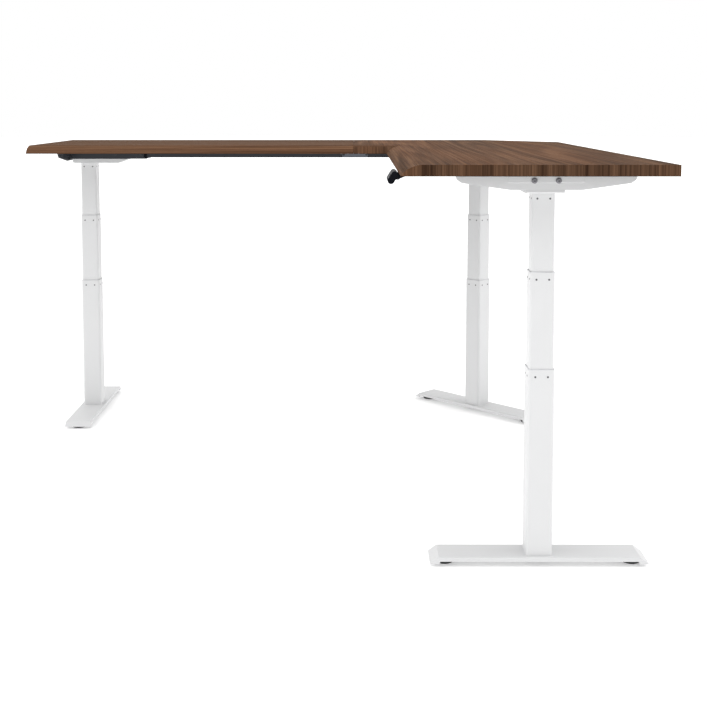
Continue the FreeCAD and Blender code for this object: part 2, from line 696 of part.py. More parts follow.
# ---- handset ---------------------------------------------------------------
def paddle_directions():
    """Unit vectors up the paddle's face and out of it, in the XZ plane."""
    run = PADDLE_HIGH[0] - PADDLE_LOW[0]
    rise = PADDLE_HIGH[1] - PADDLE_LOW[1]
    length = math.hypot(run, rise)
    along = V(run / length, 0, rise / length)
    return along, V(-along.z, 0, along.x)


def paddle_slab():
    """Slab with round long edges, drawn as an outline in the XZ plane and run along Y."""
    along, out = paddle_directions()
    start = V(PADDLE_LOW[0], HANDSET_NEAR_END, PADDLE_LOW[1])
    end = V(PADDLE_HIGH[0], HANDSET_NEAR_END, PADDLE_HIGH[1])
    low_arc = Part.Arc(start + out * PADDLE_R, start - along * PADDLE_R, start - out * PADDLE_R)
    high_arc = Part.Arc(end - out * PADDLE_R, end + along * PADDLE_R, end + out * PADDLE_R)
    edges = [low_arc.toShape(),
             Part.LineSegment(start - out * PADDLE_R, end - out * PADDLE_R).toShape(),
             high_arc.toShape(),
             Part.LineSegment(end + out * PADDLE_R, start + out * PADDLE_R).toShape()]
    slab = Part.Face(Part.Wire(edges)).extrude(V(0, HANDSET_LENGTH, 0))
    ends = [edge for edge in slab.Edges if edge.BoundBox.YLength < 1e-6]
    return slab.makeFillet(2.5, ends)


def knuckle(y_low, length, radius=KNUCKLE_R):
    """Round knuckle about the handset's hinge line."""
    return Part.makeCylinder(radius, length, V(HINGE[0], y_low, HINGE[1]), V(0, 1, 0))


def key_block(index, grow, low, high):
    """Block square to the paddle's face, over one key, from depth low to height high."""
    along, out = paddle_directions()
    middle = V((PADDLE_LOW[0] + PADDLE_HIGH[0]) / 2, HANDSET_NEAR_END + KEY_FIRST + index * KEY_PITCH,
               (PADDLE_LOW[1] + PADDLE_HIGH[1]) / 2) + out * PADDLE_R
    shape = Part.makeBox(KEY_WIDTH + 2 * grow, KEY_LENGTH + 2 * grow, high - low,
                         V(-KEY_WIDTH / 2 - grow, -KEY_LENGTH / 2 - grow, low))
    upright = [edge for edge in shape.Edges if edge.BoundBox.ZLength > (high - low) / 2]
    shape = shape.makeFillet(KEY_ROUND + grow, upright)
    turn = FreeCAD.Rotation(along, V(0, 1, 0), out, "ZXY")
    shape.Placement = FreeCAD.Placement(middle, turn)
    return shape


def key(index):
    """Memory key, standing a little proud of the paddle."""
    return key_block(index, 0.0, -KEY_THICK + KEY_PROUD, KEY_PROUD)


def paddle():
    """Tilting body with a pocket for each key and a knuckle near each end."""
    near = HANDSET_NEAR_END + KNUCKLE_INSET
    far = HANDSET_NEAR_END + HANDSET_LENGTH - KNUCKLE_INSET - KNUCKLE_LENGTH
    between = near + KNUCKLE_LENGTH
    slab = paddle_slab().cut(knuckle(between, far - between, KNUCKLE_R + KNUCKLE_CLEARANCE))
    arms = []
    for y in (near, far):
        arms.append(knuckle(y, KNUCKLE_LENGTH))
        link = [(292.0, 1020.5), (301.0, 1020.9), (303.5, 1033.3), (296.0, 1036.0)]
        arms.append(profile_along_y(link, y, y + KNUCKLE_LENGTH))
    solid = join([slab] + arms)
    for y in (near, far):
        solid = solid.cut(knuckle(y - 1, KNUCKLE_LENGTH + 2, HINGE_PIN_BORE_R))
    for index in range(KEY_COUNT):
        depth = -KEY_THICK + KEY_PROUD - KEY_TRAVEL_GAP
        solid = solid.cut(key_block(index, KEY_CLEARANCE, depth, 3.0))
    return solid


def handset_mount():
    """Wedge under the board with the middle knuckle and the hinge pin moulded into it."""
    near = HANDSET_NEAR_END + MOUNT_INSET
    far = HANDSET_NEAR_END + HANDSET_LENGTH - MOUNT_INSET
    wedge = profile_along_y(MOUNT_PROFILE, near, far)
    pin = knuckle(HANDSET_NEAR_END + KNUCKLE_INSET, HANDSET_LENGTH - 2 * KNUCKLE_INSET, HINGE_PIN_R)
    return join([wedge, knuckle(near, far - near), pin])


# ---- whole desk ------------------------------------------------------------
def leg_parts(leg):
    """Every sub-part of one leg that has a name of its own."""
    pads = {"a": levelling_pad(-PAD_SPACING / 2), "b": levelling_pad(PAD_SPACING / 2)}
    parts = {
        "foot_" + leg: foot(),
        "outer_tube_" + leg: outer_tube(),
        "outer_glide_" + leg: glide(OUTER_SIDE, OUTER_ROUND, MIDDLE_SIDE, MIDDLE_ROUND, OUTER_TOP),
        "base_screws_" + leg: group(glide_screws(OUTER_SIDE, OUTER_TOP) + foot_bolts()),
        "pad_" + leg + "_a": pads["a"],
        "pad_" + leg + "_b": pads["b"],
        "middle_tube_" + leg: square_tube(MIDDLE_SIDE, MIDDLE_ROUND, MIDDLE_BOTTOM, MIDDLE_TOP),
        "middle_glide_" + leg: glide(MIDDLE_SIDE, MIDDLE_ROUND, INNER_SIDE, INNER_ROUND, MIDDLE_TOP),
        "middle_screws_" + leg: group(glide_screws(MIDDLE_SIDE, MIDDLE_TOP)),
        "drive_nut_" + leg: drive_nut(),
        "lead_screw_" + leg: lead_screw(),
        "inner_tube_" + leg: inner_tube(),
        "motor_housing_" + leg: motor_housing(),
    }
    return {name: at_leg(shape, leg) for name, shape in parts.items()}


def at_all_legs(shapes, legs):
    """The shapes repeated at each of the named legs, kept as separate solids."""
    return group([at_leg(shape, leg) for leg in legs for shape in shapes])


def wood_screws():
    """Every screw driven up into the boards."""
    screws = [wood_screw(x, y, UNDERSIDE - PLATE_SHEET) for x, y in seam_screw_places()]
    screws += [wood_screw(x, y, UNDERSIDE - EAR_SHEET) for x, y in box_screw_places()]
    corner_places = [(580.0, 700.0), (700.0, 580.0), (620.0, 735.0), (735.0, 620.0)]
    screws += [wood_screw(x, y, UNDERSIDE - CORNER_SHEET) for x, y in corner_places]
    for leg in ("left", "near"):
        for x, y in bracket_screw_places():
            screws.append(at_leg(wood_screw(x, y, FLANGE_Z), leg))
    return group(screws)


def shared_parts():
    """Sub-parts that ride with the top."""
    left, right = desktop_boards()
    rails = mirrored_pair(cross_rail())
    ends = ("left", "near")
    return {
        "desktop_left": left,
        "desktop_right": right,
        "seam_plates": group([seam_plate(y) for y in PLATE_PLACES]),
        "wood_screws": wood_screws(),
        "rail_sleeves": at_all_legs(mirrored_pair(rail_sleeve()), ends),
        "cross_rails_left": at_all_legs(rails, ("left",)),
        "cross_rails_near": at_all_legs(rails, ("near",)),
        "splice_plates": at_all_legs(mirrored_pair(splice_plate()), ends),
        "side_bracket_left": at_leg(side_bracket(), "left"),
        "side_bracket_near": at_leg(side_bracket(), "near"),
        "corner_bracket": corner_bracket(),
        "frame_bolts": group([at_all_legs(side_bolts() + rail_screws(), ends)] + flange_screws()),
        "head_screws": at_all_legs(glide_screws(INNER_SIDE, HOUSING_BOTTOM + 3.5), LEGS),
        "drive_motors": at_all_legs([drive_motor()], LEGS),
        "gearboxes": at_all_legs([gearbox()], LEGS),
        "control_box": control_box(),
        "handset_mount": handset_mount(),
        "handset_paddle": paddle(),
        "memory_key_1": key(0),
        "memory_key_2": key(1),
        "memory_key_3": key(2),
    }


def build():
    """Write one STEP file per sub-part."""
    os.makedirs("parts", exist_ok=True)
    parts = shared_parts()
    for leg in LEGS:
        parts.update(leg_parts(leg))
    for name, shape in parts.items():
        solids = len(shape.Solids)
        if solids < 1 or not shape.isValid():
            raise ValueError(name + " is not a valid solid")
        shape.exportStep(os.path.join("parts", name + ".step"))
        print(name, solids, round(shape.Volume / 1000.0, 1), "cm3")
    print(len(parts), "sub-parts")


build()
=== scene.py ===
"""Looks of the height adjustable corner desk: materials, small fittings, light and camera."""
import math

import bmesh
import bpy
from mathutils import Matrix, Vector


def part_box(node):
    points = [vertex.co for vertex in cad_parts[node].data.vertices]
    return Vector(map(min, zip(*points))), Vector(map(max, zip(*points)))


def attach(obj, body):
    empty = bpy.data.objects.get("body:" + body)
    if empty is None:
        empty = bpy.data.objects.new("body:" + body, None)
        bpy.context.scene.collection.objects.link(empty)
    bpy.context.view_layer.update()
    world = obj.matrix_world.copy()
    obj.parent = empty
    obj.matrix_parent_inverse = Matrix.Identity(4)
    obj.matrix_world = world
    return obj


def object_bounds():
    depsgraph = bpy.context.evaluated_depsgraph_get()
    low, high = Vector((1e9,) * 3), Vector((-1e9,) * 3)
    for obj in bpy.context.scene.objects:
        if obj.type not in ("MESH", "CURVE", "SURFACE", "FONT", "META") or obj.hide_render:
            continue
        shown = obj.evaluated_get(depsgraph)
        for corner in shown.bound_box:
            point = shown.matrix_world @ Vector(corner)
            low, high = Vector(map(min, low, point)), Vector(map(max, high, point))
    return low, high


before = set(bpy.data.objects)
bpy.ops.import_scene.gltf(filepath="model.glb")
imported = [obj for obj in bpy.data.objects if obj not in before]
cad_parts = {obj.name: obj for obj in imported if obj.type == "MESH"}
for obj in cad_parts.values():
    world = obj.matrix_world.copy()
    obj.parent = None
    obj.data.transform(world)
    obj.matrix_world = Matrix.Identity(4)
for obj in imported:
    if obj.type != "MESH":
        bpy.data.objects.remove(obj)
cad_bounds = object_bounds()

LEGS = ("corner", "left", "near")
X_AXIS, Y_AXIS, Z_AXIS = Vector((1, 0, 0)), Vector((0, 1, 0)), Vector((0, 0, 1))

# Camera: place from the middle of the desk's box and reach in metres, lens and sensor in millimetres,
# turns in degrees, shift in picture widths.
CAMERA_OFFSET = (0.19255, -3.83856, 0.68374)
CAMERA_LENS = 58.391
CAMERA_SENSOR = 36.0
CAMERA_DOWN = 4.841
CAMERA_LEFT = 0.103
CAMERA_SHIFT_Y = -0.215
CAMERA_REACH = 200.0

# Light and floor. Each soft light has a name, the way that it shines, and a strength. SOFTNESS is its
# width in degrees, and the floor's radius is in metres.
WHITE = (1.0, 1.0, 1.0, 1.0)
SKY_STRENGTH = 1.0
SOFT_LIGHTS = (("key", (0.86, 0.04, -0.50), 0.82), ("fill", (-0.87, 0.02, -0.48), 0.80),
               ("overhead", (0.0, 0.05, -1.0), 0.55))
SOFTNESS = 60.0
FLOOR_RADIUS = 40.0
FLOOR_SIDES = 96
FLOOR_GLOW = 0.26

# Fittings, in metres, with CORNER_STEPS straight pieces to a rounded corner. The window's profile is
# inset, corner radius and height above the face.
CORNER_STEPS = 6
WINDOW_MARGIN = 0.005
WINDOW_HALF_HEIGHT = 0.0072
WINDOW_PROFILE = ((0.0, 0.0026, -0.0004), (0.0, 0.0026, 0.00035), (0.00015, 0.0025, 0.0005),
                  (0.0005, 0.0022, 0.0006), (0.0016, 0.0014, 0.0006), (0.0019, 0.0011, 0.00045))
RAIL_WIDTH = 0.018
RAIL_OVERLAP = 0.150
BUSH_LENGTH = 0.012
BUSH_WALL = 0.0030
BUSH_CLEARANCE = 0.0002
# Round a bush's wall: inner or outer size, growth in u and v, corner radius, place along the rail.
BUSH_PROFILE = (("inner", 0.0, 0.0, 0.0015, 0.0),
                ("outer", 0.0, -0.0006, 0.0025, 0.0),
                ("outer", 0.0004, -0.0002, 0.0028, 0.0008),
                ("outer", 0.0004, -0.0002, 0.0028, BUSH_LENGTH - 0.0022),
                ("outer", -0.0004, -0.0010, 0.0024, BUSH_LENGTH - 0.0006),
                ("outer", -0.0012, -0.0018, 0.0020, BUSH_LENGTH),
                ("inner", 0.0004, 0.0002, 0.0016, BUSH_LENGTH),
                ("inner", 0.0, 0.0, 0.0015, BUSH_LENGTH - 0.0006))

# Which faces take a second finish: a board's from this downward normal, a bracket's and its bolts' within
# these distances of the bracket's outermost face, in metres, and a bracket's only below this inward normal.
FACING_DOWN = -0.98
BRACKET_SKIN = 0.003
BOLT_HEAD_REACH = 0.004
FACING_IN = 0.5

# Wood. The lip is a dark line along the lower edge, in metres, fully dark over LIP_SOLID of it. Tones run
# from dark to pale at TONE_STOPS of a sum of grain layers, each with its share. END_FACING is how far a face
# looks along the grain, from not an end at all to wholly one, and WARM_FROM is the range of the broad layer
# over which the tint turns from cool to warm. RINGS is how many bands one unit of the ring noise makes.
LIP_LINE = 0.0012
LIP_SOLID = 0.6
WOOD_TONES = ((0.034, 0.0175, 0.0105), (0.107, 0.0590, 0.0360), (0.197, 0.1140, 0.0700), (0.26, 0.160, 0.102))
TONE_STOPS = (0.12, 0.45, 0.74, 0.95)
TONE_OFFSET = 0.48
# End faces are darker by this much in tone: partly end grain, partly painted shade that keeps the tops
# lighter than the edges.
END_GRAIN_AND_PAINTED_SHADE = 0.07
END_FACING = (0.05, 0.30)
WARM_FROM = (0.42, 0.62)
RINGS = 11.0
FIGURE_SHARE, STREAK_SHARE, LINE_SHARE, BROAD_SHARE = -0.13, 0.66, 0.86, 0.44
COOL_TINT, WARM_TINT = (1.0, 0.99, 0.96), (1.07, 0.96, 0.86)
PORE_COLOUR, LIP_COLOUR = (0.022, 0.012, 0.008), (0.018, 0.012, 0.009)
PORE_DEPTH = 0.55

# Metal: drawn lines per metre.
DRAWN_LINES = 900.0


# ---- node graphs -------------------------------------------------------------
class Graph:
    """The node tree of a new material, with short ways to add nodes and link them."""

    def __init__(self, name):
        self.material = bpy.data.materials.new(name)
        self.material.use_nodes = True
        self.tree = self.material.node_tree
        self.shader = self.tree.nodes["Principled BSDF"]
        self.coords = self.tree.nodes.new("ShaderNodeTexCoord")

    def put(self, socket, value):
        """Link a node's output to a socket, or set the socket to a plain value."""
        if isinstance(value, bpy.types.NodeSocket):
            self.tree.links.new(value, socket)
        elif value is not None:
            socket.default_value = value

    def position(self):
        """Place in the desk's own frame, at rest."""
        return self.coords.outputs["Object"]

    def math(self, operation, first, second=None):
        """One operation of a Math node on one or two values."""
        node = self.tree.nodes.new("ShaderNodeMath")
        node.operation = operation
        for socket, value in zip(node.inputs, (first, second)):
            self.put(socket, value)
        return node.outputs[0]

    def total(self, *terms):
        """Sum of values, each given with its share."""
        parts = [self.math("MULTIPLY", value, share) for value, share in terms]
        result = parts[0]
        for part in parts[1:]:
            result = self.math("ADD", result, part)
        return result

    def remap(self, value, low, high, to_low=0.0, to_high=1.0):
        """Smooth step of a value from one range to another."""
        node = self.tree.nodes.new("ShaderNodeMapRange")
        node.interpolation_type = "SMOOTHSTEP"
        for name, item in (("Value", value), ("From Min", low), ("From Max", high),
                           ("To Min", to_low), ("To Max", to_high)):
            self.put(node.inputs[name], item)
        return node.outputs["Result"]

    def split(self, vector):
        """The three parts of a vector."""
        node = self.tree.nodes.new("ShaderNodeSeparateXYZ")
        self.put(node.inputs[0], vector)
        return node.outputs

    def combine(self, x, y, z):
        """A vector from its three parts."""
        node = self.tree.nodes.new("ShaderNodeCombineXYZ")
        for socket, value in zip(node.inputs, (x, y, z)):
            self.put(socket, value)
        return node.outputs[0]

    def noise(self, vector, scale, detail=2.0, roughness=0.5, distortion=0.0):
        """Noise from 0 to 1, with about scale features in one unit of the vector."""
        node = self.tree.nodes.new("ShaderNodeTexNoise")
        for name, item in (("Vector", vector), ("Scale", scale), ("Detail", detail),
                           ("Roughness", roughness), ("Distortion", distortion)):
            self.put(node.inputs[name], item)
        return node.outputs["Fac"]

    def mix(self, factor, first, second, blend="MIX"):
        """Mix of two colours, each a link or three numbers."""
        node = self.tree.nodes.new("ShaderNodeMix")
        node.data_type = "RGBA"
        node.blend_type = blend
        self.put(node.inputs["Factor"], factor)
        for name, item in (("A", first), ("B", second)):
            socket = [s for s in node.inputs if s.name == name and s.type == "RGBA"][0]
            self.put(socket, (*item, 1.0) if isinstance(item, tuple) else item)
        return [s for s in node.outputs if s.type == "RGBA"][0]

    def ramp(self, factor, stops):
        """Colour from a ramp of places and colours."""
        node = self.tree.nodes.new("ShaderNodeValToRGB")
        elements = node.color_ramp.elements
        while len(elements) < len(stops):
            elements.new(0.5)
        for element, (place, colour) in zip(elements, stops):
            element.position = place
            element.color = (*colour, 1.0)
        self.put(node.inputs[0], factor)
        return node.outputs["Color"]

    def bump(self, height, strength, distance):
        """Bump on the shader, with distance in metres."""
        node = self.tree.nodes.new("ShaderNodeBump")
        self.put(node.inputs["Strength"], strength)
        self.put(node.inputs["Distance"], distance)
        self.put(node.inputs["Height"], height)
        self.put(self.shader.inputs["Normal"], node.outputs["Normal"])


def set_shader(graph, **values):
    """Set sockets of the shader by name, with underscores for spaces."""
    for name, value in values.items():
        graph.put(graph.shader.inputs[name.replace("_", " ")], value)


def scaled(colour, share):
    """A colour made darker or lighter, up to full white."""
    return tuple(min(1.0, part * share) for part in colour)


# ---- materials ---------------------------------------------------------------
def wood(name, grain, seed, shade):
    """Walnut laminate with its grain along X or Y; end faces are darker, partly as end grain and partly as
    painted shade that keeps the top lighter than the edges, with upright stripes.

    seed picks the pattern, and shade scales every tone.
    """
    g = Graph(name)
    x, y, z = g.split(g.position())
    normal = g.split(g.coords.outputs["Normal"])
    along, across, facing = (x, y, normal[0]) if grain == "X" else (y, x, normal[1])
    end = g.remap(g.math("ABSOLUTE", facing), *END_FACING)
    across = g.math("ADD", across, g.math("MULTIPLY", z, g.math("SUBTRACT", 1.0, end)))

    def grain_noise(offset, long, wide, detail, roughness=0.55, distortion=0.0):
        """Noise scaled apart along the grain (long) and across it (wide), in features per metre."""
        vector = g.combine(g.math("MULTIPLY", along, long), g.math("MULTIPLY", across, wide), seed + offset)
        return g.noise(vector, 1.0, detail, roughness, distortion)

    field = grain_noise(0.0, long=0.38, wide=4.2, detail=1.2, roughness=0.40, distortion=0.10)
    rings = g.math("FRACT", g.math("MULTIPLY", field, RINGS))
    figure = g.math("SUBTRACT", g.remap(rings, 0.0, 0.72), g.remap(rings, 0.76, 1.0))
    streaks = grain_noise(11.0, long=0.8, wide=95.0, detail=3.0, roughness=0.62, distortion=0.08)
    lines = grain_noise(23.0, long=2.2, wide=340.0, detail=3.0, roughness=0.62)
    pores = g.remap(grain_noise(37.0, long=38.0, wide=1500.0, detail=1.0), 0.60, 0.72)
    broad = grain_noise(51.0, long=0.30, wide=3.6, detail=2.0)

    tone = g.total((figure, FIGURE_SHARE), (streaks, STREAK_SHARE), (lines, LINE_SHARE), (broad, BROAD_SHARE))
    # Darker end faces: partly end grain, partly painted shade that keeps the tops lighter than the edges.
    tone = g.math("SUBTRACT", tone, g.math("ADD", g.math("MULTIPLY", end, END_GRAIN_AND_PAINTED_SHADE), TONE_OFFSET))
    colour = g.ramp(tone, [(place, scaled(item, shade)) for place, item in zip(TONE_STOPS, WOOD_TONES)])
    tint = g.mix(g.remap(broad, *WARM_FROM), COOL_TINT, WARM_TINT)
    colour = g.mix(1.0, colour, tint, "MULTIPLY")
    colour = g.mix(g.math("MULTIPLY", pores, PORE_DEPTH), colour, PORE_COLOUR)
    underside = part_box("desktop_left")[0].z
    lip = g.remap(z, underside + LIP_LINE * LIP_SOLID, underside + LIP_LINE, to_low=1.0, to_high=0.0)
    colour = g.mix(lip, colour, LIP_COLOUR)

    g.bump(g.total((lines, 0.5), (pores, -0.6)), strength=0.35, distance=0.0002)
    rough = g.remap(g.total((lines, 1.0), (pores, 0.5)), 0.2, 1.0, to_low=0.52, to_high=0.68)
    set_shader(g, Base_Color=colour, Roughness=rough, Specular_IOR_Level=0.004)
    return g.material


def backing(name):
    """Dark balancing sheet under the boards."""
    g = Graph(name)
    grain = g.noise(g.position(), 240.0, detail=4.0, roughness=0.6)
    cloud = g.noise(g.position(), 4.0, detail=3.0)
    speckle = g.noise(g.position(), 1900.0, detail=1.0)
    tone = g.total((grain, 0.6), (cloud, 0.4))
    colour = g.ramp(tone, ((0.36, (0.016, 0.013, 0.011)), (0.64, (0.034, 0.028, 0.024))))
    rough = g.remap(speckle, 0.3, 0.7, to_low=0.60, to_high=0.78)
    g.bump(speckle, strength=0.3, distance=0.0002)
    set_shader(g, Base_Color=colour, Roughness=rough, Specular_IOR_Level=0.12)
    return g.material


def powder_coat(name, colour, spread, roughness, specular=0.5):
    """Powder coat: a slight orange peel, and a little unevenness in colour and gloss.

    spread is how far the colour strays from its mean, as a share of it.
    """
    g = Graph(name)
    peel = g.noise(g.position(), 620.0, detail=2.0, roughness=0.45)
    cloud = g.noise(g.position(), 5.5, detail=3.0)
    speck = g.noise(g.position(), 2600.0, detail=1.0)
    tone = g.total((cloud, 0.7), (speck, 0.3))
    base = g.ramp(tone, ((0.35, scaled(colour, 1.0 - spread)), (0.65, scaled(colour, 1.0 + spread))))
    g.bump(peel, strength=0.5, distance=0.00025)
    unevenness = g.total((peel, 1.0), (cloud, 0.5))
    rough = g.remap(unevenness, 0.4, 1.1, to_low=roughness - 0.05, to_high=roughness + 0.06)
    set_shader(g, Base_Color=base, Roughness=rough, Specular_IOR_Level=specular)
    return g.material


def moulded(name, colour, roughness, texture_scale=1400.0, specular=0.5):
    """Moulded plastic with a fine spark eroded texture of about texture_scale features per metre."""
    g = Graph(name)
    texture = g.noise(g.position(), texture_scale)
    cloud = g.noise(g.position(), 22.0)
    tone = g.total((cloud, 0.6), (texture, 0.4))
    base = g.ramp(tone, ((0.35, scaled(colour, 0.80)), (0.65, scaled(colour, 1.25))))
    g.bump(texture, strength=0.35, distance=0.00015)
    rough = g.remap(texture, 0.3, 0.7, to_low=roughness - 0.05, to_high=roughness + 0.07)
    set_shader(g, Base_Color=base, Roughness=rough, Specular_IOR_Level=specular)
    return g.material


def rubber(name):
    """Matt black rubber of the levelling pads, with a fine moulded grain and dust in it."""
    g = Graph(name)
    grain = g.noise(g.position(), 900.0, detail=3.0, roughness=0.6)
    dust = g.noise(g.position(), 60.0, detail=4.0, roughness=0.6)
    colour = g.ramp(dust, ((0.35, (0.010, 0.010, 0.011)), (0.75, (0.026, 0.026, 0.027))))
    rough = g.remap(dust, 0.3, 0.7, to_low=0.62, to_high=0.80)
    g.bump(grain, strength=0.6, distance=0.0003)
    set_shader(g, Base_Color=colour, Roughness=rough, Specular_IOR_Level=0.35)
    return g.material


def metal(name, colour, roughness, brushed=(1.0, 1.0, 1.0), metallic=1.0):
    """Bare or plated metal with fine lines; a brushed share below 1 stretches them along that axis."""
    g = Graph(name)
    axes = g.split(g.position())
    vector = g.combine(*[g.math("MULTIPLY", axis, DRAWN_LINES * share) for axis, share in zip(axes, brushed)])
    lines = g.noise(vector, 1.0, detail=3.0, roughness=0.6)
    tarnish = g.noise(g.position(), 45.0, detail=3.0, roughness=0.6)
    base = g.ramp(tarnish, ((0.30, scaled(colour, 0.72)), (0.62, colour)))
    g.bump(lines, strength=0.25, distance=0.0001)
    rough = g.remap(lines, 0.25, 0.75, to_low=roughness - 0.07, to_high=roughness + 0.10)
    set_shader(g, Base_Color=base, Roughness=rough, Metallic=metallic)
    return g.material


def display_glass(name):
    """Smoked acrylic of the handset's window: near black and smooth, with faint smears."""
    g = Graph(name)
    smear = g.noise(g.position(), 130.0, detail=4.0, roughness=0.65, distortion=0.6)
    colour = g.ramp(smear, ((0.30, (0.006, 0.007, 0.010)), (0.75, (0.016, 0.019, 0.026))))
    rough = g.remap(smear, 0.3, 0.7, to_low=0.08, to_high=0.16)
    g.bump(smear, strength=0.05, distance=0.0001)
    set_shader(g, Base_Color=colour, Roughness=rough, Specular_IOR_Level=0.09)
    return g.material


def floor_material(name):
    """Pale studio floor with a very faint mottle and a small glow."""
    g = Graph(name)
    mottle = g.noise(g.position(), 1.6, detail=4.0, roughness=0.55)
    fine = g.noise(g.position(), 160.0)
    colour = g.ramp(mottle, ((0.30, (0.885, 0.885, 0.885)), (0.70, (0.905, 0.905, 0.904))))
    rough = g.remap(fine, 0.3, 0.7, to_low=0.75, to_high=0.85)
    g.bump(fine, strength=0.05, distance=0.0003)
    set_shader(g, Base_Color=colour, Roughness=rough, Specular_IOR_Level=0.1,
               Emission_Color=WHITE, Emission_Strength=FLOOR_GLOW)
    return g.material


def make_materials():
    """Every finish on the desk, by a short name."""
    return {
        "wood_left": wood("walnut_left", grain="X", seed=3.7, shade=1.04),
        "wood_right": wood("walnut_right", grain="Y", seed=101.3, shade=0.96),
        "backing": backing("backing_sheet"),
        "white": powder_coat("white_powder", (0.630, 0.632, 0.636), spread=0.012, roughness=0.42),
        "charcoal": powder_coat("charcoal_powder", (0.0215, 0.0235, 0.0290), spread=0.10, roughness=0.50,
                                specular=0.35),
        "slate": powder_coat("slate_powder", (0.110, 0.123, 0.147), spread=0.08, roughness=0.42),
        "collar": moulded("grey_collar", (0.56, 0.565, 0.58), roughness=0.48),
        "plastic": moulded("black_plastic", (0.0070, 0.0078, 0.0100), roughness=0.30, texture_scale=1100.0,
                           specular=0.006),
        "box_plastic": moulded("box_plastic", (0.0095, 0.0100, 0.0115), roughness=0.44, texture_scale=900.0,
                               specular=0.25),
        "keys": moulded("key_plastic", (0.040, 0.043, 0.052), roughness=0.40, texture_scale=1600.0),
        "rubber": rubber("black_rubber"),
        "black_steel": metal("black_steel", (0.045, 0.046, 0.050), roughness=0.36, metallic=0.6),
        "screw": metal("small_screws", (0.11, 0.11, 0.115), roughness=0.45, metallic=0.5),
        "zinc": metal("zinc_steel", (0.56, 0.56, 0.58), roughness=0.34, brushed=(1.0, 1.0, 0.3)),
        "bolt": metal("button_bolts", (0.25, 0.245, 0.262), roughness=0.50, metallic=0.35),
        "steel": metal("bare_steel", (0.52, 0.52, 0.53), roughness=0.28, brushed=(1.0, 1.0, 0.08)),
        "alloy": metal("cast_alloy", (0.36, 0.37, 0.38), roughness=0.52, metallic=0.8),
        "glass": display_glass("display_glass"),
    }


# ---- painting CAD nodes ------------------------------------------------------
def paint(node, *finishes, choose=None):
    """Give a CAD node one finish, or several with a rule that picks one per face."""
    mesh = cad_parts[node].data
    mesh.materials.clear()
    for finish in finishes:
        mesh.materials.append(finish)
    for face in mesh.polygons:
        face.material_index = choose(face) if choose else 0


def under_board(face):
    """1 on the underside of a board, 0 elsewhere."""
    return 1 if face.normal.z < FACING_DOWN else 0


def paint_desk(finish):
    """Give every CAD node its finish; boards, side brackets and frame bolts take two."""
    paint("desktop_left", finish["wood_left"], finish["backing"], choose=under_board)
    paint("desktop_right", finish["wood_right"], finish["backing"], choose=under_board)
    for leg in LEGS:
        for part in ("foot_", "outer_tube_", "middle_tube_", "inner_tube_", "motor_housing_"):
            paint(part + leg, finish["white"])
        for part in ("outer_glide_", "middle_glide_"):
            paint(part + leg, finish["collar"])
        for part in ("base_screws_", "middle_screws_"):
            paint(part + leg, finish["screw"])
        for end in ("_a", "_b"):
            paint("pad_" + leg + end, finish["rubber"])
        paint("drive_nut_" + leg, finish["alloy"])
        paint("lead_screw_" + leg, finish["steel"])
    paint("head_screws", finish["screw"])
    left_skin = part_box("side_bracket_left")[0].x + BRACKET_SKIN
    near_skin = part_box("side_bracket_near")[0].y + BRACKET_SKIN
    paint("side_bracket_left", finish["charcoal"], finish["white"],
          choose=lambda face: 1 if face.center.x < left_skin and face.normal.x < FACING_IN else 0)
    paint("side_bracket_near", finish["charcoal"], finish["white"],
          choose=lambda face: 1 if face.center.y < near_skin and face.normal.y < FACING_IN else 0)
    left_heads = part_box("side_bracket_left")[0].x + BOLT_HEAD_REACH
    near_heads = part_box("side_bracket_near")[0].y + BOLT_HEAD_REACH
    paint("frame_bolts", finish["black_steel"], finish["bolt"],
          choose=lambda face: 1 if face.center.x < left_heads or face.center.y < near_heads else 0)
    for node in ("rail_sleeves", "cross_rails_left", "cross_rails_near", "corner_bracket"):
        paint(node, finish["charcoal"])
    paint("splice_plates", finish["slate"])
    for node in ("seam_plates", "wood_screws"):
        paint(node, finish["zinc"])
    for node in ("drive_motors", "gearboxes"):
        paint(node, finish["black_steel"])
    for node in ("handset_mount", "handset_paddle"):
        paint(node, finish["plastic"])
    paint("control_box", finish["box_plastic"])
    for index in (1, 2, 3):
        paint("memory_key_" + str(index), finish["keys"])


# ---- small fittings ----------------------------------------------------------
def rounded_outline(half_u, half_v, radius):
    """Points round a rectangle with rounded corners, anticlockwise."""
    points = []
    for quarter, (u, v) in enumerate(((1, 1), (-1, 1), (-1, -1), (1, -1))):
        for step in range(CORNER_STEPS + 1):
            angle = math.pi / 2 * (quarter + step / CORNER_STEPS)
            points.append((u * (half_u - radius) + radius * math.cos(angle),
                           v * (half_v - radius) + radius * math.sin(angle)))
    return points


def lofted(name, sections, origin, u_axis, v_axis, material, body, closed):
    """Piece through rounded rectangles (half u, half v, radius, height) stacked along u x v.

    A closed loft runs back into its first section, as a bush does; an open one is capped.
    """
    up = u_axis.cross(v_axis)
    shape = bmesh.new()
    rings = []
    for half_u, half_v, radius, height in sections:
        ring = []
        for u, v in rounded_outline(half_u, half_v, radius):
            ring.append(shape.verts.new(origin + u_axis * u + v_axis * v + up * height))
        rings.append(ring)
    count = len(rings[0])
    pairs = list(zip(rings, rings[1:]))
    if closed:
        pairs.append((rings[-1], rings[0]))
    else:
        shape.faces.new(list(reversed(rings[0])))
        shape.faces.new(rings[-1])
    for lower, upper in pairs:
        for index in range(count):
            after = (index + 1) % count
            shape.faces.new((lower[index], lower[after], upper[after], upper[index]))
    bmesh.ops.recalc_face_normals(shape, faces=shape.faces)
    mesh = bpy.data.meshes.new(name)
    shape.to_mesh(mesh)
    shape.free()
    mesh.materials.append(material)
    piece = bpy.data.objects.new(name, mesh)
    bpy.context.scene.collection.objects.link(piece)
    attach(piece, body)
    return piece


